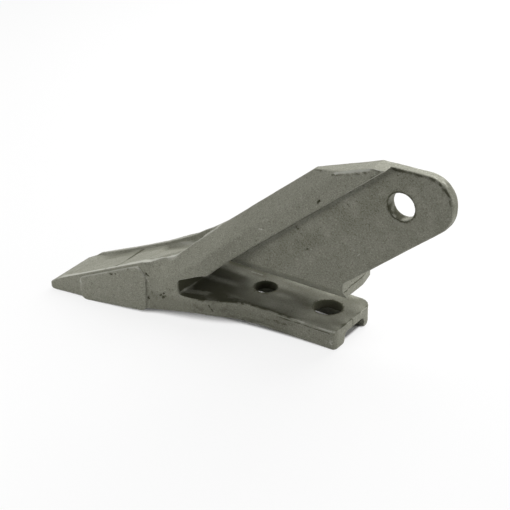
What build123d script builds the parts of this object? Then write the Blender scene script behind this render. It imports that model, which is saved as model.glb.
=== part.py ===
"""Side bucket tooth: one forged piece that clamps the corner of a bucket's lip.

Millimetres. X runs back from the cutting edge to the strap's end, Y runs into the bucket
from its side plate, and Z is up. The origin is the front strap hole, on the strap's top face.
"""
from build123d import *
from math import cos, radians, sin, tan
import os

os.makedirs("parts", exist_ok=True)

# Strap under the bucket's lip
STRAP_NEAR = -34.0          # edge flush with the side plate's outer face
STRAP_FAR = 31.5
STRAP_END = 95.7
STRAP_THICK = 20.0
STRAP_NEAR_CORNER = 5.0
STRAP_FAR_CORNER = 13.0
STRAP_ROUND = 4.0           # height of the rounding round its underside

# Bolt holes through strap and jaw
FRONT_HOLE_D = 20.5
REAR_HOLE_D = 26.0
HOLE_PITCH = 66.6

# Channel for the bolt heads, under the strap
CHANNEL_NEAR = -18.0
CHANNEL_FAR = 15.5
CHANNEL_DEEP = 12.0
CHANNEL_AHEAD = 26.0        # past the front hole's axis
CHANNEL_RADIUS = 5.0

# Slot for the lip, between strap and jaw
LIP_GAP = 25.0
SLOT_ROOT = -59.0
SLOT_MOUTH = 14.0           # height at the root, where the lip is bevelled
SLOT_BEVEL_END = -35.0
SLOT_ROOT_RADIUS = 5.0
SLOT_ROOF_RADIUS = 40.0     # where the bevel meets the flat roof

# Upper jaw, inside the bucket
JAW_FAR = 33.0
JAW_END = 94.0
JAW_TOP = 42.0
JAW_SQUARE = 14.0           # where the end face starts to turn off
JAW_SKEW = 4.0
JAW_BEVEL_Y = 8.0
JAW_BEVEL_Z = 10.0

# Arm that stands against the side plate
ARM_ANGLE = 40.0
ARM_NEAR = -23.0            # seat of the side plate
ARM_FAR = -13.0
ARM_HOLE_D = 24.5
ARM_HOLE_X = 148.2
ARM_HOLE_Z = 132.9
ARM_FRONT = 70.3            # front line, square to the slope from the origin
ARM_BACK = 28.0             # rear line, the other way
ARM_HEEL = 95.0
ARM_TOP = 166.0
ARM_TIP = 195.0
ARM_TIP_RISE = 1.5          # of the top, from the break to the tip
ARM_TIP_RADIUS = 25.0
END_ANGLE = 19.6            # rise of the arm's top end
END_BREAK_X = 125.0

# Thick band along the arm's front
BAND_BACK = 39.2
BAND_NEAR = STRAP_NEAR
BAND_BEVEL_LOW = 17.0
BAND_BEVEL_TOP = 12.0
BAND_EDGE = -19.5           # near corner of the bevelled front edge
BAND_EDGE_START = -60.0     # along the slope, where the bevel leaves the blade's near face
BAND_EDGE_END = 20.0

# Wedge blade
BLADE_NEAR = -56.5
BLADE_FAR = 0.0
NOSE_X = -211.0
NOSE_LOW = -41.5
NOSE_TALL = 8.0
NOSE_RAMP = 14.0            # from the nose to where the rims reach full height
BLADE_RISE = 25.4
RIM_LIFT = 1.3
CHIN_X = -172.0
CHIN_Z = -38.0
BELLY_X = -91.0
BELLY_Z = -25.9
NECK_X = -50.0              # the underside arches up here, below the slot's root
NECK_Z = -16.8
ARCH_X = -37.0
ARCH_Z = -15.8
ARCH_END_X = -17.0
ARCH_END_Z = -17.4
BEND_RADIUS = 60.0          # between the blade's top and the arm's front

# Scoop in the blade's top, between a near and a far rim
SCOOP_FRONT = -188.0
SCOOP_DEEP = 5.5            # at the far wall
SCOOP_NEAR_DEEP = 1.5
NEAR_RIM = 4.0
FAR_RIM = 4.0
RIM_FRONT_LIFT = 1.8        # the far rim stands higher here than the near one
RIM_FRONT_X = -192.0
RIM_LEVEL_X = -145.0        # level with it again
RIM_BACK_X = -73.0
RIM_BACK_LIFT = 2.4

# Raised wear pad round the blade
PAD_FRONT = -173.0
PAD_BACK = -94.0
PAD_PROUD = 2.0
PAD_UNDER = 2.0
PAD_BELOW_RIM = 3.0
PAD_SHOULDER = 9.0
PAD_ROUND = 7.0

# Sweep from the wide blade to the strap
SWEEP_START = -60.0
SWEEP_END = 20.0
FAR_SWEEP_START = -112.0
FAR_SWEEP_END = -38.0
ARM_SWEEP_START = -90.0
ARM_SWEEP_END = -26.0

# Rounding left by the dies
SEAT_ROUND = 1.5
ARM_FAR_ROUND = 1.2
JAW_ROUND = 3.0

CLEAR = 30.0                # how far cutters run past the metal


def across(face, near, far):
    """A side profile, drawn in X and Z, made solid from near to far."""
    return extrude(Plane.XZ.offset(-far) * face, far - near)


def upright(face, low, high):
    """A plan outline made solid from low to high."""
    return Pos(0, 0, low) * extrude(face, high - low)


def polygon(*points):
    return make_face(Polyline(*points, close=True))


def on_slope(along, front):
    """X and Z of a point on the arm: along the slope, and ahead of the origin's line."""
    a = radians(ARM_ANGLE)
    return (along * cos(a) - front * sin(a), along * sin(a) + front * cos(a))


def slope_z(x, front):
    """Height at x of the sloping line that runs that far ahead of the origin's."""
    a = radians(ARM_ANGLE)
    return x * tan(a) + front / cos(a)


def s_curve(x0, y0, x1, y1):
    middle = (x0 + x1) / 2
    return Bezier((x0, y0), (middle, y0), (middle, y1), (x1, y1))


def blade_top_z(x):
    return NOSE_LOW + NOSE_TALL + RIM_LIFT + (x - NOSE_X) * tan(radians(BLADE_RISE))


def bend_x():
    """Where the blade's top meets the arm's front line."""
    rise = tan(radians(BLADE_RISE)) - tan(radians(ARM_ANGLE))
    return (slope_z(0, ARM_FRONT) - blade_top_z(0)) / rise


def side_profile():
    """Blade, body and arm seen from the side, with the slot still filled."""
    slope = tan(radians(ARM_ANGLE))
    end_rise = tan(radians(END_ANGLE))
    end_low = ARM_TOP - END_BREAK_X * end_rise
    top_x = (slope_z(0, ARM_FRONT) - end_low) / (end_rise - slope)
    ramp_x = NOSE_X + NOSE_RAMP
    outline = polygon(
        (NOSE_X, NOSE_LOW), (NOSE_X, NOSE_LOW + NOSE_TALL), (ramp_x, blade_top_z(ramp_x)),
        (bend_x(), blade_top_z(bend_x())), (top_x, end_low + top_x * end_rise),
        (END_BREAK_X, ARM_TOP), (ARM_TIP, ARM_TOP + ARM_TIP_RISE),
        (ARM_TIP, slope_z(ARM_TIP, -ARM_BACK)), (ARM_HEEL, slope_z(ARM_HEEL, -ARM_BACK)),
        (ARM_HEEL, 0), (SLOT_ROOT, 0), (BELLY_X, BELLY_Z), (CHIN_X, CHIN_Z))
    bend = outline.vertices().filter_by(lambda v: abs(v.X - bend_x()) < 1 and v.Y > 0)
    outline = fillet(bend, BEND_RADIUS)
    tip = outline.vertices().filter_by(lambda v: v.X > ARM_TIP - 1)
    tip_tall = ARM_TOP - slope_z(ARM_TIP, -ARM_BACK)
    outline = fillet(tip, min(ARM_TIP_RADIUS, 0.65 * tip_tall))
    nose = outline.vertices().filter_by(lambda v: v.X < NOSE_X + 1)
    return fillet(nose, NOSE_TALL * 0.45)


def arm_plan():
    """The blade and arm from above: wide at the blade, one band thick at the arm."""
    near = s_curve(SWEEP_START, BLADE_NEAR, SWEEP_END, BAND_NEAR)
    far = s_curve(ARM_SWEEP_START, BLADE_FAR, ARM_SWEEP_END, ARM_FAR)
    back = ARM_TIP + CLEAR
    front = NOSE_X - CLEAR
    edge = [
        Line((front, BLADE_NEAR), (SWEEP_START, BLADE_NEAR)), near,
        Line((SWEEP_END, BAND_NEAR), (back, BAND_NEAR)), Line((back, BAND_NEAR), (back, ARM_FAR)),
        Line((back, ARM_FAR), (ARM_SWEEP_END, ARM_FAR)), far,
        Line((ARM_SWEEP_START, BLADE_FAR), (front, BLADE_FAR)),
        Line((front, BLADE_FAR), (front, BLADE_NEAR))]
    return make_face(edge)


def strap_plan():
    near = s_curve(SWEEP_START, BLADE_NEAR, SWEEP_END, STRAP_NEAR)
    far = s_curve(FAR_SWEEP_START, BLADE_FAR, FAR_SWEEP_END, STRAP_FAR)
    edge = [
        Line((FAR_SWEEP_START, BLADE_NEAR), (SWEEP_START, BLADE_NEAR)), near,
        Line((SWEEP_END, STRAP_NEAR), (STRAP_END, STRAP_NEAR)),
        Line((STRAP_END, STRAP_NEAR), (STRAP_END, STRAP_FAR)),
        Line((STRAP_END, STRAP_FAR), (FAR_SWEEP_END, STRAP_FAR)), far,
        Line((FAR_SWEEP_START, BLADE_FAR), (FAR_SWEEP_START, BLADE_NEAR))]
    return strap_corners(make_face(edge))


def strap_corners(face):
    ends = face.vertices().filter_by(lambda v: v.X > STRAP_END - 1).sort_by(Axis.Y)
    face = fillet(ends[0], STRAP_NEAR_CORNER)
    ends = face.vertices().filter_by(lambda v: v.X > STRAP_END - 1).sort_by(Axis.Y)
    return fillet(ends[-1], STRAP_FAR_CORNER)


def rounded_below(face, top, tall, way):
    """A plan face stood under height top, drawn in or let out in two drafts like a rounding."""
    drawn = Pos(0, 0, top) * face
    solid = extrude(drawn, 0.65 * tall, dir=(0, 0, -1), taper=way * 14)
    low = solid.faces().sort_by(Axis.Z)[0]
    return solid + extrude(low, 0.35 * tall, dir=(0, 0, -1), taper=way * 55)


def strap():
    """The strap and the metal under the slot's root."""
    round_z = STRAP_ROUND - STRAP_THICK
    straight = SWEEP_END / 2
    near_full = -STRAP_THICK + STRAP_ROUND / 6
    profile = polygon(
        (FAR_SWEEP_START, blade_bottom_z(FAR_SWEEP_START)), (BELLY_X, BELLY_Z), (NECK_X, NECK_Z),
        (ARCH_X, ARCH_Z), (ARCH_END_X, ARCH_END_Z), (straight - STRAP_ROUND, near_full),
        (straight, near_full), (straight + 5 * STRAP_ROUND, round_z),
        (STRAP_END + CLEAR, round_z), (STRAP_END + CLEAR, 0), (FAR_SWEEP_START, 0))
    block = across(profile, BLADE_NEAR - CLEAR, STRAP_FAR + CLEAR)
    block = block & upright(strap_plan(), -STRAP_THICK - CLEAR, CLEAR)
    start = straight - STRAP_ROUND / 2
    end = polygon(
        (start, STRAP_NEAR), (STRAP_END, STRAP_NEAR), (STRAP_END, STRAP_FAR), (start, STRAP_FAR))
    return block + rounded_below(strap_corners(end), round_z, STRAP_ROUND, 1)


def blade_bottom_z(x):
    return CHIN_Z + (x - CHIN_X) * (BELLY_Z - CHIN_Z) / (BELLY_X - CHIN_X)


def jaw():
    """The flange inside the bucket, from the slot's root to the jaw's end."""
    edge_far = s_curve(FAR_SWEEP_START, BLADE_FAR, FAR_SWEEP_END, JAW_FAR)
    plan = make_face([
        Line((FAR_SWEEP_START, ARM_NEAR), (JAW_END, ARM_NEAR)),
        Line((JAW_END, ARM_NEAR), (JAW_END, JAW_SQUARE)),
        Line((JAW_END, JAW_SQUARE), (JAW_END - JAW_SKEW, JAW_FAR)),
        Line((JAW_END - JAW_SKEW, JAW_FAR), (FAR_SWEEP_END, JAW_FAR)), edge_far,
        Line((FAR_SWEEP_START, BLADE_FAR), (FAR_SWEEP_START, ARM_NEAR))])
    profile = polygon(
        (FAR_SWEEP_START, 0), (JAW_END + CLEAR, 0), (JAW_END + CLEAR, JAW_TOP),
        (SLOT_ROOT + 10, JAW_TOP), (FAR_SWEEP_START, 2))
    return across(profile, ARM_NEAR, JAW_FAR) & upright(plan, -3, JAW_TOP + 1)


def lip_slot():
    """Floor flat, roof rising from the root over the lip's bevel."""
    outline = polygon(
        (SLOT_ROOT, 0), (STRAP_END + CLEAR, 0), (STRAP_END + CLEAR, LIP_GAP),
        (SLOT_BEVEL_END, LIP_GAP), (SLOT_ROOT, SLOT_MOUTH))
    root = outline.vertices().filter_by(lambda v: v.X < SLOT_ROOT + 1)
    outline = fillet(root, SLOT_ROOT_RADIUS)
    roof = outline.vertices().filter_by(lambda v: abs(v.X - SLOT_BEVEL_END) < 1 and v.Y > 1)
    outline = fillet(roof, SLOT_ROOF_RADIUS)
    return across(outline, BLADE_NEAR - CLEAR, JAW_FAR + CLEAR)


def side_plate_pocket():
    """Room for the bucket's side plate, behind the band."""
    low_x = (LIP_GAP - BAND_BACK / cos(radians(ARM_ANGLE))) / tan(radians(ARM_ANGLE))
    top_x = ARM_TIP + CLEAR
    outline = polygon(
        (low_x, LIP_GAP), (top_x, LIP_GAP), (top_x, slope_z(top_x, BAND_BACK)))
    return across(outline, BLADE_NEAR - CLEAR, ARM_NEAR)


def arm_bevel():
    """The slanting face under the arm's lower edge."""
    y, z = ARM_NEAR, LIP_GAP
    face = Plane.YZ.offset(SLOT_BEVEL_END) * polygon(
        (y - 1, z + JAW_BEVEL_Z + 1.25), (y + JAW_BEVEL_Y + 1, z - 1.25), (y - 1, z - 1.25))
    return extrude(face, ARM_HEEL - SLOT_BEVEL_END + CLEAR)


def head_channel():
    near, far = CHANNEL_NEAR, CHANNEL_FAR
    plan = polygon(
        (-CHANNEL_AHEAD, near), (STRAP_END + CLEAR, near),
        (STRAP_END + CLEAR, far), (-CHANNEL_AHEAD, far))
    front = plan.vertices().filter_by(lambda v: v.X < 0)
    plan = fillet(front, (far - near) * 0.45)
    round_z = STRAP_ROUND - STRAP_THICK
    cut = upright(plan, round_z, CHANNEL_DEEP - STRAP_THICK)
    roof = cut.faces().sort_by(Axis.Z)[-1].edges()
    roof = roof.filter_by(lambda e: e.center().X < STRAP_END + CLEAR - 1)
    return fillet(roof, CHANNEL_RADIUS) + rounded_below(plan, round_z, STRAP_ROUND, -1)


def slope_plane(along):
    """A plane square to the arm: local X runs to the front, local Y runs to far."""
    x, z = on_slope(along, 0)
    a = radians(ARM_ANGLE)
    return Plane(origin=(x, 0, z), x_dir=(-sin(a), 0, cos(a)), z_dir=(-cos(a), 0, -sin(a)))


def band_edge_y(along):
    """The band's front edge leaves the near face and runs in to the far side."""
    part = (along - BAND_EDGE_START) / (BAND_EDGE_END - BAND_EDGE_START)
    return BLADE_NEAR + min(max(part, 0), 1) * (BAND_EDGE - BLADE_NEAR)


def band_bevel():
    """Cuts the band's near front corner, from nothing at the blade to a thin front edge."""
    a = radians(ARM_ANGLE)
    near = s_curve(SWEEP_START, BLADE_NEAR, SWEEP_END, BAND_NEAR)
    stops = [(BAND_EDGE_START, BLADE_NEAR, BAND_BEVEL_LOW)]
    for t in (0, 0.2, 0.35, 0.5, 0.65, 0.8, 1):
        run = BAND_BEVEL_LOW + t * (BAND_BEVEL_TOP - BAND_BEVEL_LOW) / 2
        stops.append((((near @ t).X + (ARM_FRONT - run) * sin(a)) / cos(a), (near @ t).Y, run))
    stops.append(((END_BREAK_X + CLEAR) / cos(a), BAND_NEAR, BAND_BEVEL_TOP))
    sections = []
    for along, near_y, run in stops:
        step = band_edge_y(along) - near_y
        start = (ARM_FRONT - run * 1.5, near_y - step / 2 - 0.01)
        end = (ARM_FRONT + run / 2, band_edge_y(along) + step / 2)
        sections.append(slope_plane(along) * polygon(start, end, (end[0], near_y - CLEAR)))
    return loft(sections, ruled=True)


def scoop():
    """Shallow tray in the blade's top that runs up to the band's front edge."""
    a, b = radians(BLADE_RISE), radians(ARM_ANGLE)
    mid = (a + b) / 2
    bend = bend_x()
    top_x = on_slope(BAND_EDGE_END, ARM_FRONT)[0]
    floor = []
    stops = (
        (SCOOP_FRONT, a, 0.1, 0), ((SCOOP_FRONT * 3 + bend) / 4, a, 0.9, 0),
        ((SCOOP_FRONT + bend) / 2, a, 1, 0), (bend, mid, 1, 0.25), ((bend + top_x) / 2, b, 1, 0.6))
    for x, angle, depth, inward in stops:
        z = blade_top_z(x) if x <= bend else slope_z(x, ARM_FRONT)
        near = BLADE_NEAR + NEAR_RIM + inward * (BAND_EDGE - BLADE_NEAR)
        far = BLADE_FAR - FAR_RIM + inward * (ARM_FAR - BLADE_FAR)
        plane = Plane(origin=(x, 0, z), x_dir=(0, 1, 0), z_dir=(cos(angle), 0, sin(angle)))
        face = polygon(
            (near, -depth * SCOOP_NEAR_DEEP), (far - SCOOP_DEEP, -depth * SCOOP_DEEP),
            (far, -depth * SCOOP_DEEP * 0.6), (far, CLEAR), (near, CLEAR))
        floor.append(plane * face)
    return loft(floor, ruled=True)


def far_rim():
    """The far rim's crest, which stands above the near one at its front and at the bend."""
    def above(x, lift):
        return (x, blade_top_z(x) + lift)
    middle = (RIM_LEVEL_X + RIM_BACK_X) / 2
    end = on_slope(BAND_EDGE_START, ARM_FRONT)[0] + BEND_RADIUS
    front = polygon(
        above(NOSE_X + NOSE_RAMP / 2, -2), above(RIM_FRONT_X, RIM_FRONT_LIFT),
        above(RIM_LEVEL_X, 0), above(RIM_LEVEL_X, -5), above(NOSE_X + NOSE_RAMP, -5))
    back = polygon(
        above(middle, 0), above(RIM_BACK_X, RIM_BACK_LIFT), (end, slope_z(end, ARM_FRONT)),
        (end, slope_z(end, ARM_FRONT / 2)), above(middle, -5))
    crest = across(front, BLADE_FAR - FAR_RIM, BLADE_FAR) + across(back, BAND_EDGE, BLADE_FAR)
    return crest & upright(arm_plan(), NOSE_LOW, ARM_TOP)


def wear_pad():
    """Proud saddle over both side faces and the underside of the blade."""
    profile = polygon(
        (PAD_FRONT, CHIN_Z - PAD_UNDER), (PAD_FRONT, blade_top_z(PAD_FRONT) - PAD_BELOW_RIM),
        (PAD_BACK - PAD_SHOULDER, blade_top_z(PAD_BACK - PAD_SHOULDER) - PAD_BELOW_RIM),
        (PAD_BACK, blade_top_z(PAD_BACK - PAD_SHOULDER) - PAD_BELOW_RIM - PAD_SHOULDER),
        (PAD_BACK, blade_bottom_z(PAD_BACK) - PAD_UNDER))
    profile = fillet(profile.vertices(), PAD_ROUND)
    return across(profile, BLADE_NEAR - PAD_PROUD, BLADE_FAR + PAD_PROUD)


def bolt_hole(x, diameter):
    return Pos(x, 0, 0) * Cylinder(diameter / 2, 4 * JAW_TOP)


def arm_hole():
    return Pos(ARM_HOLE_X, ARM_FAR, ARM_HOLE_Z) * Rot(90, 0, 0) * Cylinder(ARM_HOLE_D / 2, 80)


def soften(solid, edges, radius):
    """Rounds the edges. They stay sharp where a changed size leaves no room."""
    try:
        return fillet(edges, radius)
    except ValueError:
        return solid


def lies_at(edge, axis, value):
    box = edge.bounding_box()
    low, high = getattr(box.min, axis), getattr(box.max, axis)
    return abs(low - value) < 0.02 and abs(high - value) < 0.02


def forged_edges(body):
    """The rounding that the dies leave on the outer edges."""
    above_jaw = JAW_TOP + 2
    seat = body.edges().filter_by(
        lambda e: lies_at(e, "Y", ARM_NEAR) and e.center().X > ARM_HEEL and e.center().Z > above_jaw)
    body = soften(body, seat, SEAT_ROUND)
    far = body.edges().filter_by(lambda e: lies_at(e, "Y", ARM_FAR) and e.center().Z > above_jaw)
    body = soften(body, far, ARM_FAR_ROUND)
    inner = body.edges().filter_by(
        lambda e: lies_at(e, "Z", JAW_TOP) and e.center().Y > FRONT_HOLE_D / 2)
    return soften(body, inner, JAW_ROUND)


def tooth():
    body = across(side_profile(), BLADE_NEAR - 1, BLADE_FAR + 1)
    body = body & upright(arm_plan(), NOSE_LOW - CLEAR, ARM_TOP + CLEAR)
    body = body + far_rim() - band_bevel() - scoop()
    body = body + strap() + jaw() + wear_pad()
    body = body - lip_slot() - side_plate_pocket() - arm_bevel() - head_channel()
    body = forged_edges(body)
    return body - bolt_hole(0, FRONT_HOLE_D) - bolt_hole(HOLE_PITCH, REAR_HOLE_D) - arm_hole()


side_tooth = tooth()
export_step(side_tooth, "parts/side_tooth.step")
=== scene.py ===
"""Side bucket tooth: the forging with its steel finish, on a pale studio floor.

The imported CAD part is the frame. Metres. X runs back from the cutting edge, Y into the bucket, Z up.
"""

from collections import namedtuple
from itertools import product
from math import cos, radians, sin

import bmesh
import bpy
import numpy as np
from bpy.props import FloatProperty, FloatVectorProperty, IntProperty, PointerProperty
from mathutils import Matrix, Vector


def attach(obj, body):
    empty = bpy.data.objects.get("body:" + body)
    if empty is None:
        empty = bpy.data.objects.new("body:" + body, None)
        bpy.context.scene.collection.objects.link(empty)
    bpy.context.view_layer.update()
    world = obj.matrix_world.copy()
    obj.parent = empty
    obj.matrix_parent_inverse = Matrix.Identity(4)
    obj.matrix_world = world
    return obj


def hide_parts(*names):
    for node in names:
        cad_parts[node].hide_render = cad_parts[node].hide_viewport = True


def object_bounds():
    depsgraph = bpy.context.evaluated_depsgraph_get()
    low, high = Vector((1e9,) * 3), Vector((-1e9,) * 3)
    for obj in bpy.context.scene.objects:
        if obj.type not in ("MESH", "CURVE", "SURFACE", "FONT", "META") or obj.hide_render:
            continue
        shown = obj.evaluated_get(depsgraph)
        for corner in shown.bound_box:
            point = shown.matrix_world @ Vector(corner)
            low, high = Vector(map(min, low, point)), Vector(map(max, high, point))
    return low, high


bl_info = {
    "name": "Side Bucket Tooth",
    "version": (1, 0, 0),
    "blender": (4, 5, 0),
    "location": "3D View > Sidebar > Side Tooth",
    "description": "Forged side tooth of an excavator bucket, with its steel finish and a studio",
    "category": "Object",
}

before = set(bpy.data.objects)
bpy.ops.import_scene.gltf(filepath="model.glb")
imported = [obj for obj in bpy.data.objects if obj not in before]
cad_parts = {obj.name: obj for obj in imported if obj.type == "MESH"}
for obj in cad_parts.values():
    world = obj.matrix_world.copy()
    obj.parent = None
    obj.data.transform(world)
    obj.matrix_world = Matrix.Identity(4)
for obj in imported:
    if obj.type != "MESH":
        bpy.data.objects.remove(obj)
CAD_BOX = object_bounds()
MM = 0.001
RIPPLE_CELLS = 24               # the noise repeats after so many bumps
EDGE_DEPTH = 0.32 * MM          # a point that stands out this far counts fully as an edge
TRIANGLES = 190000              # of the finished tooth


# Values a user would change


class ForgingSizes(bpy.types.PropertyGroup):
    """How the dies and the trimming press leave the tooth."""

    grid: FloatProperty(
        name="Surface grid", description="Spacing of the points on the forged skin",
        default=0.0006, min=0.0005, subtype="DISTANCE", unit="LENGTH")
    rounding: IntProperty(
        name="Edge rounding", description="How many times the sharp edges are worn back",
        default=3, min=0, max=20)
    neck_rounding: IntProperty(
        name="Neck rounding",
        description="More of the same on the neck's lower edge and the band's crease",
        default=45, min=0, max=200)
    waviness: FloatProperty(
        name="Waviness", description="Height of the slow waves on the forged faces",
        default=0.00016, subtype="DISTANCE", unit="LENGTH")
    grit: FloatProperty(
        name="Grit", description="Height of the small bumps that scale leaves",
        default=0.00005, subtype="DISTANCE", unit="LENGTH")
    marks: FloatProperty(
        name="Marks", description="Depth of the pits, nicks and seams, as a share of the real ones",
        default=1.0, min=0, max=2)


class SteelColours(bpy.types.PropertyGroup):
    """Colours of the forged steel."""

    steel: FloatVectorProperty(
        name="Steel", description="Middle colour of the forged skin",
        subtype="COLOR", size=3, min=0, max=1, default=(0.206, 0.206, 0.166))
    # Painted shade in holes, the slot and on the arm's face also darkens towards this colour
    scale: FloatVectorProperty(
        name="Scale", description="Dark mill scale in hollows and patches",
        subtype="COLOR", size=3, min=0, max=1, default=(0.110, 0.110, 0.080))
    # Also the colour of the painted highlights on the crests, the band's step and its end
    bright: FloatVectorProperty(
        name="Rubbed steel", description="Paler steel on rubbed edges and scratches",
        subtype="COLOR", size=3, min=0, max=1, default=(0.40, 0.40, 0.355))


class StudioValues(bpy.types.PropertyGroup):
    """Floor, lamps and camera."""

    floor: FloatVectorProperty(
        name="Floor", description="Colour of the floor",
        subtype="COLOR", size=3, min=0, max=1, default=(0.8, 0.8, 0.8))
    backdrop: FloatProperty(
        name="Backdrop", description="How far the floor is seen as plain white",
        default=0.85, min=0, max=1)
    fill: FloatProperty(
        name="Fill", description="Strength of the even light from all round", default=0.04, min=0)
    top: FloatProperty(
        name="Top lamp", description="Power of the wide lamp above",
        default=19.0, min=0, unit="POWER")
    back: FloatProperty(
        name="Back lamp", description="Power of the lamp behind the tooth",
        default=17.5, min=0, unit="POWER")
    left: FloatProperty(
        name="Left lamp", description="Power of the small lamp near the tip",
        default=2.4, min=0, unit="POWER")
    right: FloatProperty(
        name="Right lamp", description="Power of the lamp beyond the strap's end",
        default=8.0, min=0, unit="POWER")
    lens: FloatProperty(
        name="Lens", description="Focal length on a 36 mm sensor", default=112.94, unit="CAMERA")


# Helpers


def new_object(name, bm_or_mesh):
    """Links a finished mesh as an object at the origin."""
    if isinstance(bm_or_mesh, bmesh.types.BMesh):
        mesh = bpy.data.meshes.new(name)
        bm_or_mesh.to_mesh(mesh)
        bm_or_mesh.free()
    else:
        mesh = bm_or_mesh
    obj = bpy.data.objects.new(name, mesh)
    bpy.context.scene.collection.objects.link(obj)
    return obj


def cad_copy(node):
    """A merged copy of a CAD node's mesh."""
    bm = bmesh.new()
    bm.from_mesh(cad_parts[node].data)
    bmesh.ops.remove_doubles(bm, verts=bm.verts, dist=1e-6)
    return bm


def baked(obj):
    """Applies the object's modifiers to its mesh."""
    graph = bpy.context.evaluated_depsgraph_get()
    mesh = bpy.data.meshes.new_from_object(obj.evaluated_get(graph))
    obj.modifiers.clear()
    obj.data = mesh
    return obj


def remesh(obj, size):
    """Lays an even grid of points over the whole surface."""
    m = obj.modifiers.new("skin", "REMESH")
    m.mode = "VOXEL"
    m.voxel_size = size
    return baked(obj)


def relax(obj, times):
    """Wears every edge back a little, this many times."""
    m = obj.modifiers.new("relax", "SMOOTH")
    m.factor = 0.5
    m.iterations = times
    return baked(obj)


def points_of(mesh):
    p = np.empty(len(mesh.vertices) * 3, np.float32)
    mesh.vertices.foreach_get("co", p)
    return p.reshape(-1, 3).astype(float)


def normals_of(mesh):
    n = np.empty(len(mesh.vertices) * 3, np.float32)
    mesh.vertex_normals.foreach_get("vector", n)
    return n.reshape(-1, 3).astype(float)


def put_points(mesh, p):
    mesh.vertices.foreach_set("co", p.astype(np.float32).ravel())
    mesh.update()


def put_attribute(mesh, name, values):
    a = mesh.attributes.new(name, "FLOAT", "POINT")
    a.data.foreach_set("value", values.astype(np.float32))


def ripple(p, size, seed):
    """Smooth noise between -1 and 1, with bumps of this size."""
    table = np.random.default_rng(seed).random((RIPPLE_CELLS,) * 3) * 2 - 1
    q = p / size + seed * 7.31
    i = np.floor(q).astype(int)
    f = q - i
    f = f * f * (3 - 2 * f)
    out = np.zeros(len(p))
    for corner in product((0, 1), repeat=3):
        dx, dy, dz = np.where(corner, f, 1 - f).T
        cell = (i + corner) % RIPPLE_CELLS
        out += dx * dy * dz * table[tuple(cell.T)]
    return out


# Steel


class Nodes:
    """Short calls for a material's node tree."""

    def __init__(self, name):
        self.material = bpy.data.materials.new(name)
        self.material.use_nodes = True
        self.tree = self.material.node_tree
        self.tree.nodes.clear()

    def add(self, kind, **values):
        node = self.tree.nodes.new(kind)
        for key, value in values.items():
            setattr(node, key, value)
        return node

    def link(self, a, b):
        self.tree.links.new(a, b)

    def set(self, socket, value):
        """Links an output, or writes a plain value."""
        if isinstance(value, bpy.types.NodeSocket):
            self.link(value, socket)
        else:
            socket.default_value = value

    def math(self, operation, a, b=0.0, clamp=False):
        node = self.add("ShaderNodeMath", operation=operation, use_clamp=clamp)
        self.set(node.inputs[0], a)
        self.set(node.inputs[1], b)
        return node.outputs[0]

    def span(self, value, low, high, to_low=0.0, to_high=1.0):
        """Stretches a range of values onto another, held at its ends."""
        node = self.add("ShaderNodeMapRange", interpolation_type="SMOOTHSTEP")
        self.set(node.inputs["Value"], value)
        ends = {"From Min": low, "From Max": high, "To Min": to_low, "To Max": to_high}
        for key, number in ends.items():
            node.inputs[key].default_value = number
        return node.outputs[0]

    def mix(self, factor, a, b):
        node = self.add("ShaderNodeMix", data_type="RGBA")
        self.set(node.inputs[0], factor)
        self.set(node.inputs[6], a)
        self.set(node.inputs[7], b)
        return node.outputs[2]

    def noise(self, at, scale, detail, rough):
        node = self.add("ShaderNodeTexNoise")
        self.set(node.inputs["Vector"], at)
        for key, number in (("Scale", scale), ("Detail", detail), ("Roughness", rough)):
            node.inputs[key].default_value = number
        return node.outputs["Fac"]

    def stretched(self, at, scale, turn):
        node = self.add("ShaderNodeMapping")
        self.set(node.inputs["Vector"], at)
        node.inputs["Scale"].default_value = scale
        node.inputs["Rotation"].default_value = turn
        return node.outputs[0]

    def attribute(self, name):
        return self.add("ShaderNodeAttribute", attribute_name=name).outputs["Fac"]


def colour(values):
    return (*values, 1.0)


DEEP_SHARE = (0.42, 0.42, 0.34)  # of the scale's colour, for scale in pits and for painted shade in holes and the slot


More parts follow.
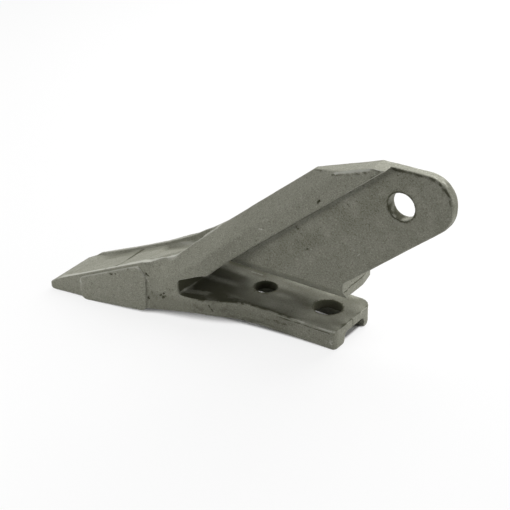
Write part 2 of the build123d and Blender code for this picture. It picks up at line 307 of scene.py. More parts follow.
def forged_steel(c):
    """Matte olive-grey forged steel: fine sandy grain, scale, pits, scratches and rubbed edges, and the
    painted highlights and shade of the shade attribute.
    """
    n = Nodes("forged_steel_skin")
    at = n.add("ShaderNodeTexCoord").outputs["Object"]
    edge = n.attribute("edge")
    hollow = n.attribute("hollow")
    shade = n.attribute("shade")
    deep = colour([v * w for v, w in zip(c.scale, DEEP_SHARE)])

    clouds = n.noise(at, 22, 3, 0.55)
    patches = n.noise(at, 150, 4, 0.6)
    grain = n.noise(at, 1100, 2, 0.6)
    sand = n.noise(at, 680, 2, 0.6)
    tone = n.mix(n.span(clouds, 0.3, 0.7, 0.12, 0.0), colour(c.steel), colour(c.scale))
    tone = n.mix(n.span(patches, 0.5, 0.3, 0.0, 0.16), tone, colour(c.scale))
    tone = n.mix(n.span(grain, 0.48, 0.68, 0.0, 0.42), tone, colour(c.bright))
    tone = n.mix(n.span(sand, 0.5, 0.3, 0.0, 0.62), tone, colour(c.scale))
    speck = n.noise(at, 420, 2, 0.5)
    tone = n.mix(n.span(speck, 0.33, 0.24, 0.0, 0.45), tone, deep)
    crumbs = n.noise(n.stretched(at, (1.0, 1.0, 1.0), (0, SLOPE, 0)), 700, 2, 0.6)
    crumbs = n.math("MULTIPLY", n.span(crumbs, 0.5, 0.36), n.attribute("coarse"))
    tone = n.mix(n.math("MULTIPLY", crumbs, 0.6), tone, deep)
    # Painted shade: the arm's face darkened towards the scale colour
    tone = n.mix(n.math("MULTIPLY", n.attribute("coarse"), 0.3), tone, colour(c.scale))

    cells = n.add("ShaderNodeTexVoronoi", feature="F1")
    n.link(at, cells.inputs["Vector"])
    cells.inputs["Scale"].default_value = 160
    spread = n.add("ShaderNodeSeparateColor")
    n.link(cells.outputs["Color"], spread.inputs[0])
    some = n.math("GREATER_THAN", spread.outputs[0], 0.93)
    pit = n.math("MULTIPLY", n.span(cells.outputs["Distance"], 0.17, 0.08), some)
    tone = n.mix(n.math("MULTIPLY", pit, 0.55), tone, deep)

    drag = n.noise(n.stretched(at, (12, 300, 300), (0, SLOPE, 0)), 3.0, 2, 0.5)
    where = n.noise(at, 38, 2, 0.5)
    scratch = n.math("MULTIPLY", n.span(drag, 0.67, 0.73), n.span(where, 0.54, 0.64))
    tone = n.mix(n.math("MULTIPLY", scratch, 0.3), tone, colour(c.bright))

    worn = n.math("MULTIPLY", n.span(edge, 0.2, 0.75), n.span(patches, 0.3, 0.6, 0.45, 1.0))
    tone = n.mix(n.math("MULTIPLY", worn, 0.7), tone, colour(c.bright))
    tone = n.mix(n.span(hollow, 0.2, 0.9, 0.0, 0.75), tone, deep)
    # The shade attribute: real marks, and painted highlights (pale) and painted shade (dark)
    tone = n.mix(n.span(shade, 0.0, 1.0, 0.0, 0.95), tone, colour(c.bright))
    tone = n.mix(n.span(shade, 0.0, -1.0, 0.0, 0.95), tone, deep)

    rough = n.span(patches, 0.3, 0.7, 0.62, 0.5)
    rough = n.math("SUBTRACT", rough, n.math("MULTIPLY", worn, 0.12))
    rough = n.math("ADD", rough, n.span(shade, 0.0, -0.8, 0.0, 0.35))

    height = n.math("MULTIPLY", grain, 0.35)
    height = n.math("ADD", height, n.math("MULTIPLY", sand, 0.9))
    height = n.math("SUBTRACT", height, n.math("MULTIPLY", pit, 1.6))
    height = n.math("SUBTRACT", height, n.math("MULTIPLY", scratch, 0.3))
    bump = n.add("ShaderNodeBump")
    bump.inputs["Strength"].default_value = 0.7
    bump.inputs["Distance"].default_value = 0.0005
    n.link(height, bump.inputs["Height"])

    shader = n.add("ShaderNodeBsdfPrincipled")
    shader.inputs["Metallic"].default_value = 0.15
    shader.inputs["Specular IOR Level"].default_value = 0.25
    shader.inputs["Specular Tint"].default_value = (1.0, 1.0, 0.85, 1.0)
    n.link(tone, shader.inputs["Base Color"])
    n.link(rough, shader.inputs["Roughness"])
    n.link(bump.outputs[0], shader.inputs["Normal"])
    out = n.add("ShaderNodeOutputMaterial")
    n.link(shader.outputs[0], out.inputs[0])
    return n.material


# Forging


# Main lines of the forging, in millimetres of the frame
SLOPE = radians(40)             # of the arm and its band
BAND_FRONT = 70.3               # front line, square to the slope from the origin
BAND_STEP = 39.2                # rear line, where the band steps down to the side plate's seat
SEAT_Y = -23.0
BAND_Y = -34.0
BLADE_Y = -56.5
BLADE_FAR_Y = 0.0
ARM_FAR_Y = -13.0
RIM_FROM = (-197.0, -25.6)      # near rim of the blade, in X and Z
RIM_TO = (-66.0, 36.6)
END_LINE = (73.6, 147.7, 0.352)  # top of the arm's end: one X and Z on it, and its rise
JAW_GROOVE_Z = 33.0
JAW_END_X = 94.0
STRAP_END_X = 95.0
SLOT_Z = (2.0, 24.0)            # between the lip's seat and the jaw
CREST_DROP = 2.4                # how much lower the near crest lies by the neck

# Bolt holes: X and radius of the strap's two, and X, Z and radius of the arm's one
STRAP_HOLES = ((0.0, 10.25), (66.6, 13.0))
ARM_HOLE = (148.2, 132.9, 12.25)

# A mark runs through its points. Lift is outward, and shade goes from -1, dark, to 1, pale.
Mark = namedtuple("Mark", "points radius lift shade")

# A cluster strews small marks round its middle on a face square to Y, along one slope.
Cluster = namedtuple("Cluster", "middle along across slope count radius lift shade")

CLUSTERS = (
    # Pits on the neck, ahead of the slot
    Cluster((-76.5, -56.5, -6.5), 7.0, 5.0, 30, 16, 1.0, -0.45, -0.75),
    Cluster((-66.0, -56.0, 2.5), 5.0, 2.5, 35, 7, 0.9, -0.4, -0.7),
    # Scale picked off the arm's face and rubs on it
    Cluster((98.5, -23.0, 120.5), 7.0, 2.2, -25, 15, 0.9, -0.3, -0.55),
    Cluster((105.5, -23.0, 126.5), 5.0, 2.0, -10, 8, 0.9, -0.3, -0.45),
    Cluster((49.5, -23.0, 81.0), 6.5, 2.2, -38, 14, 0.9, -0.3, -0.5),
    Cluster((57.5, -23.0, 65.7), 4.5, 1.8, 30, 9, 0.9, -0.3, -0.55),
    Cluster((61.0, -23.0, 88.0), 16.0, 9.0, 40, 22, 0.8, -0.25, -0.3),
    Cluster((84.0, -23.0, 111.0), 20.0, 8.0, 40, 30, 0.8, -0.25, -0.35),
    Cluster((120.0, -23.0, 128.0), 9.0, 10.0, 40, 16, 0.9, -0.25, -0.3),
    Cluster((131.0, -23.0, 139.0), 4.5, 2.0, 40, 7, 0.9, 0.1, 0.5),
    Cluster((104.0, -23.0, 82.0), 9.0, 3.0, 20, 12, 0.9, 0.05, 0.35),
    Cluster((48.5, -23.0, 52.3), 2.5, 1.2, -40, 5, 0.8, 0.1, 0.6),
    Cluster((172.0, -23.0, 127.0), 11.0, 8.0, 50, 16, 0.8, 0.05, 0.25),
    # Band: rubs and pits
    Cluster((17.0, -34.1, 79.3), 7.0, 1.0, 8, 13, 0.8, 0.1, 0.55),
    Cluster((31.0, -34.0, 79.3), 5.0, 0.9, -5, 8, 0.8, 0.1, 0.5),
    Cluster((-10.5, -35.0, 65.0), 6.0, 1.5, 28, 9, 1.0, 0.1, 0.35),
    Cluster((75.5, -34.0, 122.0), 2.6, 1.3, 32, 7, 1.1, -0.5, -0.9),
    Cluster((56.0, -34.0, 110.6), 3.0, 1.2, 30, 6, 1.0, -0.4, -0.7),
    Cluster((99.7, -23.4, 133.2), 2.8, 1.3, 20, 6, 1.0, -0.4, -0.8),
    Cluster((111.6, -23.4, 142.4), 2.2, 1.3, -30, 5, 1.0, -0.4, -0.8),
    # Strap: streaks along its near side, a pale patch by its corner
    Cluster((40.0, -34.0, -9.0), 30.0, 3.0, 0, 20, 0.9, -0.15, -0.3),
    Cluster((91.0, -34.0, -12.5), 3.4, 3.4, 60, 14, 1.2, 0.05, 0.45),
    # Wear pad: dark pitted foot on its right, nicks by its top
    Cluster((-93.0, -56.6, -14.0), 11.0, 1.6, 88, 26, 0.9, -0.2, -0.3),
    Cluster((-94.0, -56.5, 10.5), 4.5, 2.2, -50, 14, 1.1, -0.25, -0.45),
    Cluster((-132.0, -58.5, -1.0), 8.0, 0.8, 15, 10, 0.8, -0.3, -0.6),
    Cluster((-113.0, -58.5, 10.4), 2.0, 0.8, 15, 4, 0.9, -0.3, -0.7),
    Cluster((-125.0, -58.5, -22.0), 30.0, 12.0, 0, 26, 0.9, -0.2, -0.25),
)

MARKS = (
    # Crack below the slot
    Mark(((-29.3, -50.2, -2.5), (-27.8, -49.4, -7.6), (-26.2, -48.5, -9.6)), 0.9, -0.3, -0.6),
    # Pits along the band's step
    Mark(((74.5, -34.0, 133.2),), 1.1, -0.4, -0.5),
    Mark(((49.2, -27.0, 123.9),), 1.2, -0.4, -0.5),
    Mark(((62.0, -23.0, 67.4),), 1.1, 0.3, 0.8),
    Mark(((108.5, -23.0, 75.8), (110.5, -23.0, 77.9)), 0.9, 0.1, 0.6),
    # Wear pad: pale crease at its shoulder, and a slight ridge with a painted highlight along its left
    # edge
    Mark(((-103.9, -57.2, 14.7), (-98.0, -57.0, 9.5), (-91.9, -56.5, 3.6)), 1.5, 0.3, 0.8),
    Mark(((-172.2, -57.5, -17.0), (-171.0, -57.8, -27.0), (-169.9, -57.8, -36.5)), 1.5, 0.1, 0.7),
    # Strap: trimmed seam by its far side, torn end
    Mark(((-26.1, 16.0, 0.0), (-15.2, 16.4, 0.0)), 1.2, 0.3, 0.7),
    Mark(((95.7, -5.0, -0.1), (95.7, -4.5, -6.5)), 0.9, -0.5, -0.8),
    Mark(((95.7, 1.0, -3.0), (95.7, 4.0, -1.5)), 1.4, 0.2, 0.5),
    Mark(((95.7, 8.0, -2.0), (95.7, 10.0, -1.0)), 1.2, 0.2, 0.5),
    # Torn metal on the arm's rounded end
    Mark(((183.0, -19.4, 163.2), (184.6, -19.4, 162.3)), 1.4, 0.2, 0.9),
    Mark(((186.8, -19.9, 160.4),), 1.5, 0.2, 0.8),
    Mark(((193.4, -21.0, 152.5), (194.0, -21.2, 149.0)), 1.2, 0.2, 0.8),
    Mark(((191.5, -22.6, 134.3),), 1.4, 0.2, 0.8),
)


def edge_and_hollow(obj):
    """How far each point stands out from, or lies back in, its surroundings."""
    before = points_of(obj.data)
    normal = normals_of(obj.data)
    soft = new_object("soft_copy", obj.data.copy())
    relax(soft, 10)
    out = ((before - points_of(soft.data)) * normal).sum(1)
    bpy.data.objects.remove(soft)
    return np.clip(out / EDGE_DEPTH, 0, 1), np.clip(-out / EDGE_DEPTH, 0, 1)


def fade(value, full, none):
    """1 where the value has reached full, 0 where it is at none, and smooth between."""
    t = np.clip((value - none) / (full - none), 0, 1)
    return t * t * (3 - 2 * t)


def line_at(value, middle, half):
    """1 at the middle, and fading to 0 on both sides."""
    return fade(np.abs(value - middle), 0, half)


def between(value, low, high, soft):
    """1 from low to high, and fading to 0 over a soft width outside them."""
    return fade(value, low, low - soft) * fade(value, high, high + soft)


def ahead_of_slope(p):
    """Distance of points in millimetres from the line through the origin along the arm."""
    return p[:, 2] * cos(SLOPE) - p[:, 0] * sin(SLOPE)


def below_rim(p):
    """How far points in millimetres lie under the near rim's line."""
    rise = (RIM_TO[1] - RIM_FROM[1]) / (RIM_TO[0] - RIM_FROM[0])
    return RIM_FROM[1] + (p[:, 0] - RIM_FROM[0]) * rise - p[:, 2]


def crest_y(p):
    """Y of the near rim's crest, which leaves the near face as the blade narrows to the arm."""
    run = p[:, 0] * cos(SLOPE) + p[:, 2] * sin(SLOPE)
    return BLADE_Y + 37 * np.clip((run + 60) / 80, 0, 1)


def far_crest_y(x):
    """Y of the scoop's far crest, which draws in to the arm's far face."""
    return BLADE_FAR_Y + (ARM_FAR_Y - BLADE_FAR_Y) * fade(x, -50, -110)


def sunk_crest(p):
    """How far the crest lies lower where the blade turns into the neck."""
    near = between(p[:, 1] - crest_y(p), -3, 2, 9) * between(below_rim(p), -8, 3, 6)
    return CREST_DROP * near * between(p[:, 0], -90, -72, 9)


def worn_places(p):
    """The neck's lower edge and the band's crease, which the dies leave much rounder."""
    x, y, z = p.T
    front = ahead_of_slope(p)
    neck = between(x, -88, 20, 12) * fade(z, -13, -7) * fade(y, -30, -22)
    crease = between(front, BAND_FRONT - 34, BAND_FRONT - 8, 5) * fade(y, -27, -24)
    return np.maximum(neck, crease * between(x, -95, 92, 10) * fade(z, 34, 26))


def soften_where(obj, weights, times):
    """Relaxes part of a mesh, as far as the weights say."""
    group = obj.vertex_groups.new(name="where")
    steps = np.round(weights * 8).astype(int)
    for step in range(1, 9):
        group.add(np.nonzero(steps == step)[0].tolist(), step / 8, "REPLACE")
    m = obj.modifiers.new("soften", "SMOOTH")
    m.factor = 0.5
    m.iterations = times
    m.vertex_group = "where"
    baked(obj)
    obj.vertex_groups.clear()


def stroke(p, mark):
    """Weight of each point under a mark, ragged at its rim."""
    ends = np.array(mark.points)
    near = np.all((p > ends.min(0) - 2 * mark.radius) & (p < ends.max(0) + 2 * mark.radius), axis=1)
    q = p[near]
    away = np.full(len(q), 1e9)
    for a, b in zip(ends, ends[1:] if len(ends) > 1 else ends):
        run = b - a
        t = np.clip(((q - a) @ run) / max(run @ run, 1e-9), 0, 1)
        away = np.minimum(away, np.linalg.norm(q - a - t[:, None] * run, axis=1))
    weight = np.zeros(len(p))
    ragged = away * (1 + 0.5 * ripple(q, 1.6, 4) + 0.3 * ripple(q, 0.8, 9))
    weight[near] = fade(ragged, 0.25 * mark.radius, mark.radius) * fade(ripple(q, 2.1, 12), 0.2, -0.9)
    return weight


def strewn(cluster, rng):
    """The small marks of one cluster."""
    turn = radians(cluster.slope)
    for _ in range(cluster.count):
        a, c = rng.normal(0, 0.45, 2) * (cluster.along, cluster.across)
        x = cluster.middle[0] + a * cos(turn) - c * sin(turn)
        z = cluster.middle[2] + a * sin(turn) + c * cos(turn)
        size = cluster.radius * rng.uniform(0.7, 1.3)
        yield Mark(((x, cluster.middle[1], z),), size, cluster.lift, cluster.shade * rng.uniform(0.5, 1.0))


def bore_shade(p, normal):
    """Painted shade in the bolt holes, in the lip's slot and on the strap's top, and a paler ring in the
    arm's hole.
    """
    x, y, z = p.T
    shade = np.zeros(len(p))
    # Painted shade on the walls of the strap's holes
    for hole_x, radius in STRAP_HOLES:
        wall = line_at(np.hypot(x - hole_x, y), radius, 1.2) * between(z, -30, 0.2, 0.4)
        shade -= 0.85 * fade(wall, 0.3, 0.0)
    # Painted shade on the seen part of the arm hole's wall, and a paler ring along it
    hole_x, hole_z, radius = ARM_HOLE
    wall = fade(line_at(np.hypot(x - hole_x, z - hole_z), radius, 1.2), 0.3, 0.0)
    front = between(y, SEAT_Y, SEAT_Y + 8, 3) * fade(z - hole_z - 0.6 * (x - hole_x), 6, 12)
    shade -= 0.9 * wall * front * fade(ripple(p, 4, 15), 0.3, -0.9) * fade(x - hole_x, -3, 4)
    shade += 0.35 * wall * line_at(y, SEAT_Y + 2.5, 1.6) * fade(ripple(p, 5, 16), 0.4, 0.0)

    # Painted shade inside the lip's slot
    not_near = fade(-normal[:, 1], 0.3, 0.6)
    inside = between(z, *SLOT_Z, 1.5) * fade(y, BLADE_Y + 3, BLADE_Y + 1) * not_near
    shade -= inside * between(x, -62, 30, 12)

    # Painted shade on the strap's top under the jaw, darkest by the slot's root and between the holes
    on_strap = fade(normal[:, 2], 0.9, 0.7) * line_at(z, 0, 1.5)
    middle = fade(np.hypot((x - 42) / 22, (y + 8) / 12), 0.2, 1.0)
    strap_top_shade = 0.5 * fade(x, -40, 5) + 0.55 + 0.2 * middle - 0.05 * fade(x, 58, 40)
    shade -= on_strap * strap_top_shade * fade(ripple(p * [0.4, 1, 1], 7, 25), 0.8, -1.6)
    return shade


# Points in millimetres with what the long lines need: normals, how far each point stands out
# and lies on a near face, and three noises that bend a line, break it up and tear it
Skin = namedtuple("Skin", "p normal edge near_face drift broken torn")


def skin_of(p, normal, edge):
    near_face = fade(-normal[:, 1], 0.7, 0.4)
    drift = ripple(p * [1, 0, 0], 14, 2)
    broken = fade(ripple(p, 5, 6), 0.1, -0.5)
    torn = fade(ripple(p, 3, 14) + 0.5 * ripple(p, 1.2, 17), 0.3, -0.3)
    return Skin(p, normal, edge, near_face, drift, broken, torn)


def strap_lines(skin, lift, shade):
    """The strap's near edge with the seam under it, streaks on its side, painted shade low on the near
    face, and its end's top edge.
    """
    x, y, z = skin.p.T
    on_edge = fade(y, -33, -31)
    edge_line = line_at(z + 0.3 * skin.drift, -0.6, 1.3) * on_edge
    shade -= 0.9 * edge_line * between(x, -50, 52, 5) * (0.4 + 0.6 * skin.torn)
    lift += 0.25 * edge_line * between(x, 40, 92, 8) * skin.broken
    shade += edge_line * between(x, 52, 92, 5) * (0.15 + 0.85 * skin.torn)
    under = line_at(z + 0.4 * skin.drift, -3.1, 0.9) * skin.near_face * between(x, 40, 90, 8) * on_edge
    lift -= 0.2 * under
    shade -= 0.9 * under * (0.3 + 0.7 * skin.broken)

    streaks = fade(ripple(skin.p * [0.12, 1, 1], 2.2, 19), 0.5, 0.0) * skin.near_face
    shade -= 0.2 * streaks * between(z, -20, -1, 1) * between(x, -40, 90, 8) * on_edge
    # Painted shade on the lower part of the near face, from the neck along the strap
    side = skin.near_face * between(x, -88, 42, 20) * fade(z, -8, 0)
    shade -= 0.32 * side * fade(x, -88, -100)
    end_top = line_at(x, STRAP_END_X, 1.5) * between(z, -1.5, 0.3, 0.6)
    shade -= 0.45 * end_top * fade(np.abs(y), 33, 34) * skin.torn


def blade_lines(skin, shade):
    """Painted highlights on the two crests, painted shade in the bowl by the far one, and the dark line
    under the near one.
    """
    x, y = skin.p[:, 0], skin.p[:, 1]
    past_crest = y - crest_y(skin.p)
    facing_up = skin.normal[:, 2]
    # Painted highlight along the near crest
    rim = between(past_crest, -1, 5.0, 1.6) * fade(facing_up, 0.75, 0.5) * between(x, -195, -40, 10)
    shade += rim * (0.8 + 0.2 * skin.broken)
    open_top = fade(facing_up, 0.35, 0.1)
    back = far_crest_y(x)
    # Painted shade in the bowl below the far crest
    bowl = open_top * between(y, back - 14, back - 8.5, 4) * fade(past_crest, 18, 8)
    shade -= 0.34 * bowl * between(x, -165, -45, 25)
    # Painted highlight along the far crest
    shade += 0.6 * open_top * line_at(y, back - 2, 4.5) * between(x, -180, -60, 12)
    under = line_at(below_rim(skin.p) + 0.3 * skin.drift, 2.0, 1.1) * skin.near_face
    shade -= 0.35 * under * between(x, -188, -96, 8) * skin.broken


def band_lines(skin, shade):
    """Painted shadow along the step behind the band, and a painted highlight along its foot."""
    x, y, z = skin.p.T
    front = ahead_of_slope(skin.p)
    above_slot = fade(z, 27, 25)
    # Painted shadow in the corner of the step
    step = line_at(front, BAND_STEP - 0.4, 1.3) * between(x, -15, 125, 4) * above_slot
    shade -= 0.7 * step * fade(y, SEAT_Y - 4, BAND_Y + 1)
    # Painted highlight along the foot of the step
    foot = between(front, BAND_STEP - 3.2, BAND_STEP - 0.8, 0.6) * skin.near_face
    foot = foot * fade(y, SEAT_Y - 0.5, SEAT_Y - 2) * between(x, 0, 122, 6) * above_slot
    shade += 0.28 * foot


def arm_end_lines(skin, shade):
    """The trimmed edge round the arm's end, a painted highlight over a painted shadow line at the band's
    end in place of a trimmed lip, a pale edge on top, and mottled darkening on the rounded end behind.
    """
    x, y, z = skin.p.T
    front = ahead_of_slope(skin.p)
    trimmed = skin.near_face * between(skin.edge, 0.02, 0.3, 0.15) * fade(skin.edge, 0.04, 0.0)
    top_edge = between(front, BAND_FRONT - 4, BAND_FRONT + 9, 2) * fade(x, 70, 60)
    end = np.maximum(fade(x, 128, 118), top_edge) * fade(front, -8, -18)
    shade -= 0.8 * trimmed * end * (0.4 + 0.6 * skin.torn)

    line_x, line_z, line_rise = END_LINE
    drop = line_z + (x - line_x) * line_rise + 0.5 * ripple(skin.p, 2.4, 23) - z
    past_lip = drop - 2.3 * fade(x, 92, 76)
    # Painted highlight and painted shadow line at the band's end, in place of an overhanging lip
    band_end = skin.near_face * fade(y, BAND_Y + 1.5, BAND_Y + 2.5) * between(x, 74, 122, 4)
    shade += band_end * fade(past_lip, -0.2, 0.4) * fade(x, 86, 78)
    shade -= 0.95 * band_end * line_at(past_lip, 1.0, 1.2) * (0.45 + 0.55 * skin.torn)
    lip = fade(skin.edge, 0.5, 0.2) * end * between(y, BAND_Y - 1, SEAT_Y + 1.5, 0.5)
    shade += 0.5 * lip * skin.torn * fade(skin.normal[:, 2], 0.5, 0.2)
    shade -= 0.4 * fade(x, 186, 178) * (1 - skin.near_face) * fade(ripple(skin.p, 6, 29), 0.6, -0.8)


def jaw_groove(skin, lift, shade):
    """The wavy groove along the jaw's end."""
    x, y, z = skin.p.T
    height = z + 1.4 * skin.drift + 0.5 * ripple(skin.p, 2.5, 21)
    on_end = fade(x, JAW_END_X - 1.2, JAW_END_X - 2.5)
    groove = line_at(height, JAW_GROOVE_Z, 1.1) * on_end * fade(y, -20, -22) * fade(z, 38, 40)
    lift -= 0.7 * groove
    shade -= 0.9 * groove


def seams(p, normal, edge):
    """Lift and shade of the long lines: strap edge, crests and band step with painted highlights and
    shade, trimmed edges and groove.
    """
    skin = skin_of(p, normal, edge)
    lift, shade = np.zeros(len(p)), np.zeros(len(p))
    strap_lines(skin, lift, shade)
    blade_lines(skin, shade)
    band_lines(skin, shade)
    arm_end_lines(skin, shade)
    jaw_groove(skin, lift, shade)
    return lift, shade


def forging_marks(p, normal, edge):
    """Lift in millimetres and shade of every mark, for points in millimetres."""
    lift, shade = seams(p, normal, edge)
    shade += bore_shade(p, normal)
    rng = np.random.default_rng(31)
    small = [mark for cluster in CLUSTERS for mark in strewn(cluster, rng)]
    for mark in (*MARKS, *small):
        weight = stroke(p, mark)
        lift += mark.lift * weight
        shade += mark.shade * weight
    return lift, np.clip(shade, -1, 1)


def scale_and_shade_on_arm(p, normal):
    """Thick scale on the arm's face, most under the band's step; the same mask darkens the whole face with
    painted shade.
    """
    front = ahead_of_slope(p)
    face = fade(-normal[:, 1], 0.9, 0.6) * line_at(p[:, 1], SEAT_Y, 2)
    near_step = between(front, BAND_STEP - 22, BAND_STEP - 2, 12) * between(p[:, 0], 20, 150, 25)
    return face * (0.4 + 0.6 * near_step) * fade(ripple(p, 9, 27), 0.5, -0.8)


class SIDETOOTH_OT_forging(bpy.types.Operator):
    """Makes the forged tooth over the CAD node, with rounded edges, a wavy skin and its marks"""

    bl_idname = "side_tooth.forging"
    bl_label = "Forged tooth"

    def execute(self, context):
        sizes = context.scene.tooth_sizes
        tooth = new_object("forged_tooth", cad_copy("side_tooth"))
        remesh(tooth, sizes.grid)
        relax(tooth, sizes.rounding)
        soften_where(tooth, worn_places(points_of(tooth.data) / MM), sizes.neck_rounding)
        edge, hollow = edge_and_hollow(tooth)
        p, n = points_of(tooth.data), normals_of(tooth.data)
        p[:, 2] -= sunk_crest(p / MM) * MM
        lift, shade = forging_marks(p / MM, n, edge)
        wave = ripple(p, 22 * MM, 3) + 0.6 * ripple(p, 9 * MM, 5)
        small = ripple(p, 2.6 * MM, 8)
        p += n * (wave * sizes.waviness + small * sizes.grit + lift * MM * sizes.marks)[:, None]
        put_points(tooth.data, np.clip(p, CAD_BOX[0], CAD_BOX[1]))
        put_attribute(tooth.data, "edge", edge)
        put_attribute(tooth.data, "hollow", hollow)
        put_attribute(tooth.data, "shade", shade)
        put_attribute(tooth.data, "coarse", scale_and_shade_on_arm(p / MM, n))
        faces = sum(len(f.vertices) - 2 for f in tooth.data.polygons)
        m = tooth.modifiers.new("thin", "DECIMATE")
        m.ratio = min(1.0, TRIANGLES / faces)
        baked(tooth)
        for f in tooth.data.polygons:
            f.use_smooth = True
        tooth.data.materials.clear()
        tooth.data.materials.append(forged_steel(context.scene.tooth_colours))
        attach(tooth, "root")
        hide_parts("side_tooth")
        return {"FINISHED"}


# Stage


REST_TILT = radians(4.17)       # the tooth lies on the pad's front and the strap's end
REST_X, REST_Z = 0.0931, -0.0200

# Floor that the strap hides from the camera, dark so that the holes don't mirror it.
# Axis, then where the dark starts, is full, is full still and ends.
UNDER_STRAP = ((0, -0.064, -0.058, 0.088, 0.092), (1, -0.030, -0.024, 0.056, 0.064))

# Name, place, aim and width of each lamp. Its power is the studio value of that name.
LAMPS = (
    ("top", (-0.2, 0.6, 1.3), (0, 0, 0.05), 1.3),
    ("back", (0.1, 1.2, 0.7), (0, 0, 0.05), 0.9),
    ("left", (-0.42, -0.68, 0.18), (-0.12, -0.05, 0), 0.35),
    ("right", (1.3, 0.1, 0.5), (0, 0, 0.02), 0.8),
)

# Where the camera stands: its turn and fall, and its place along its own right, up and back
CAMERA_TURN, CAMERA_FALL = radians(33.91), radians(28.45)
CAMERA_RIGHT, CAMERA_UP, CAMERA_BACK = -0.00992, 0.02906, 1.4645


def floor_material(c):
    """Pale floor that the camera sees as white, apart from the shadow close to the tooth."""
    n = Nodes("pale_floor")
    path = n.add("ShaderNodeLightPath")
    open_sky = n.add("ShaderNodeAmbientOcclusion", samples=32)
    open_sky.inputs["Distance"].default_value = 0.1
    plain = n.add("ShaderNodeBsdfDiffuse")
    plain.inputs["Color"].default_value = colour(c.floor)
    white = n.add("ShaderNodeEmission")
    white.inputs["Strength"].default_value = 1.0
    straight = n.math("MULTIPLY", path.outputs["Is Camera Ray"], n.span(open_sky.outputs["AO"], 0.05, 0.2))
    mirrored = n.math("ADD", path.outputs["Is Glossy Ray"], path.outputs["Is Transmission Ray"])
    mirrored = n.math("MULTIPLY", mirrored, n.span(open_sky.outputs["AO"], 0.27, 0.4))
    at = n.add("ShaderNodeSeparateXYZ")
    n.link(n.add("ShaderNodeTexCoord").outputs["Object"], at.inputs[0])
    under = 1.0
    for axis, start, full, still_full, end in UNDER_STRAP:
        under = n.math("MULTIPLY", under, n.span(at.outputs[axis], start, full))
        under = n.math("MULTIPLY", under, n.span(at.outputs[axis], end, still_full))
    seen = n.math("ADD", straight, mirrored, clamp=True)
    seen = n.math("MULTIPLY", seen, n.math("SUBTRACT", 1.0, under))
    mix = n.add("ShaderNodeMixShader")
    n.link(n.math("MULTIPLY", seen, c.backdrop), mix.inputs[0])
    n.link(plain.outputs[0], mix.inputs[1])
    n.link(white.outputs[0], mix.inputs[2])
    out = n.add("ShaderNodeOutputMaterial")
    n.link(mix.outputs[0], out.inputs[0])
    return n.material


def studio_world(strength):
    """Even light from all round, and plain white where the camera or a mirror sees the sky."""
    world = bpy.data.worlds.new("studio")
    bpy.context.scene.world = world
    world.use_nodes = True
    tree = world.node_tree
    tree.nodes.clear()
    path = tree.nodes.new("ShaderNodeLightPath")
    seen = path.outputs["Is Camera Ray"]
    for ray in ("Is Glossy Ray", "Is Transmission Ray"):
        add = tree.nodes.new("ShaderNodeMath")
        add.operation, add.use_clamp = "ADD", True
        tree.links.new(seen, add.inputs[0])
        tree.links.new(path.outputs[ray], add.inputs[1])
        seen = add.outputs[0]
    mix = tree.nodes.new("ShaderNodeMixShader")
    tree.links.new(seen, mix.inputs[0])
    for place, power in ((1, strength), (2, 1.0)):
        light = tree.nodes.new("ShaderNodeBackground")
        light.inputs["Strength"].default_value = power
        light.inputs["Color"].default_value = (1, 1, 1, 1)
        tree.links.new(light.outputs[0], mix.inputs[place])
    out = tree.nodes.new("ShaderNodeOutputWorld")
    tree.links.new(mix.outputs[0], out.inputs[0])


def lamp(name, at, towards, size, power):
    """A square soft lamp that looks at a point."""
    light = bpy.data.lights.new(name, "AREA")
    light.shape = "RECTANGLE"
    light.size = light.size_y = size
    light.energy = power
    obj = bpy.data.objects.new(name, light)
    bpy.context.scene.collection.objects.link(obj)
    at = Vector(at)
    obj.location = at
    obj.rotation_mode = "QUATERNION"
    obj.rotation_quaternion = (Vector(towards) - at).to_track_quat("-Z", "Y")


def photo_camera(lens):
    """Stands where the photograph was taken, by the fit that also gave the sizes."""
    right = Vector((cos(CAMERA_TURN), sin(CAMERA_TURN), 0))
    level = Vector((-sin(CAMERA_TURN), cos(CAMERA_TURN), 0))
    ahead = level * cos(CAMERA_FALL) - Vector((0, 0, sin(CAMERA_FALL)))
    up = right.cross(ahead)
    data = bpy.data.cameras.new("camera")
    data.sensor_width = 36
    data.lens = lens
    data.clip_start, data.clip_end = 0.05, 20
    cam = bpy.data.objects.new("camera", data)
    bpy.context.scene.collection.objects.link(cam)
    place = Matrix((right, up, -ahead)).transposed().to_4x4()
    place.translation = right * CAMERA_RIGHT + up * CAMERA_UP - ahead * CAMERA_BACK
    cam.matrix_world = place
    bpy.context.scene.camera = cam


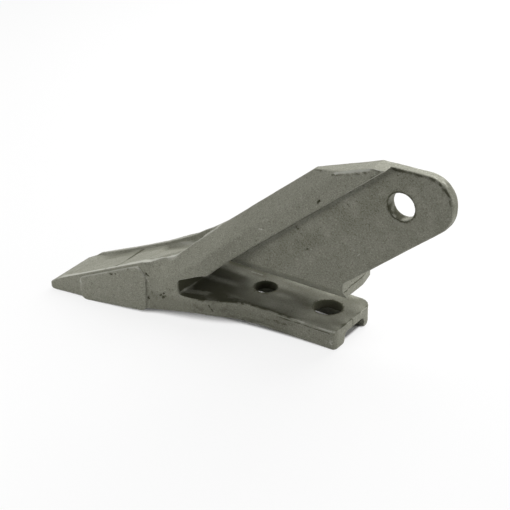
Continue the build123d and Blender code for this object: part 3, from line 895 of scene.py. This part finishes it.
class SIDETOOTH_OT_studio(bpy.types.Operator):
    """Lays the floor under the tooth and sets lamps, world and camera"""

    bl_idname = "side_tooth.studio"
    bl_label = "Studio"

    def execute(self, context):
        c = context.scene.tooth_studio
        bm = bmesh.new()
        bmesh.ops.create_grid(bm, x_segments=2, y_segments=2, size=6)
        bmesh.ops.rotate(bm, verts=bm.verts, cent=(0, 0, 0), matrix=Matrix.Rotation(-REST_TILT, 3, "Y"))
        bmesh.ops.translate(bm, verts=bm.verts, vec=(REST_X, 0, REST_Z - 0.0004))
        floor = new_object("floor", bm)
        floor.data.materials.append(floor_material(c))
        studio_world(c.fill)
        for name, at, towards, size in LAMPS:
            lamp(name + "_lamp", at, towards, size, getattr(c, name))
        photo_camera(c.lens)
        context.scene.view_settings.view_transform = "Standard"
        return {"FINISHED"}


class SIDETOOTH_PT_panel(bpy.types.Panel):
    """Lists the steps that make the tooth"""

    bl_label = "Side Tooth"
    bl_idname = "SIDETOOTH_PT_panel"
    bl_space_type = "VIEW_3D"
    bl_region_type = "UI"
    bl_category = "Side Tooth"

    def draw(self, context):
        for group in (context.scene.tooth_sizes, context.scene.tooth_colours, context.scene.tooth_studio):
            box = self.layout.box()
            for key in group.__annotations__:
                box.prop(group, key)
        for step in OPERATORS:
            self.layout.operator(step.bl_idname)


GROUPS = {"tooth_sizes": ForgingSizes, "tooth_colours": SteelColours, "tooth_studio": StudioValues}
OPERATORS = (SIDETOOTH_OT_forging, SIDETOOTH_OT_studio)


def register():
    for cls in (*GROUPS.values(), *OPERATORS, SIDETOOTH_PT_panel):
        bpy.utils.register_class(cls)
    for name, group in GROUPS.items():
        setattr(bpy.types.Scene, name, PointerProperty(type=group))


def unregister():
    for name in GROUPS:
        delattr(bpy.types.Scene, name)
    for cls in (SIDETOOTH_PT_panel, *reversed(OPERATORS), *GROUPS.values()):
        bpy.utils.unregister_class(cls)


def main():
    register()
    bpy.ops.side_tooth.forging()
    bpy.ops.side_tooth.studio()


if __name__ == "__main__":
    main()
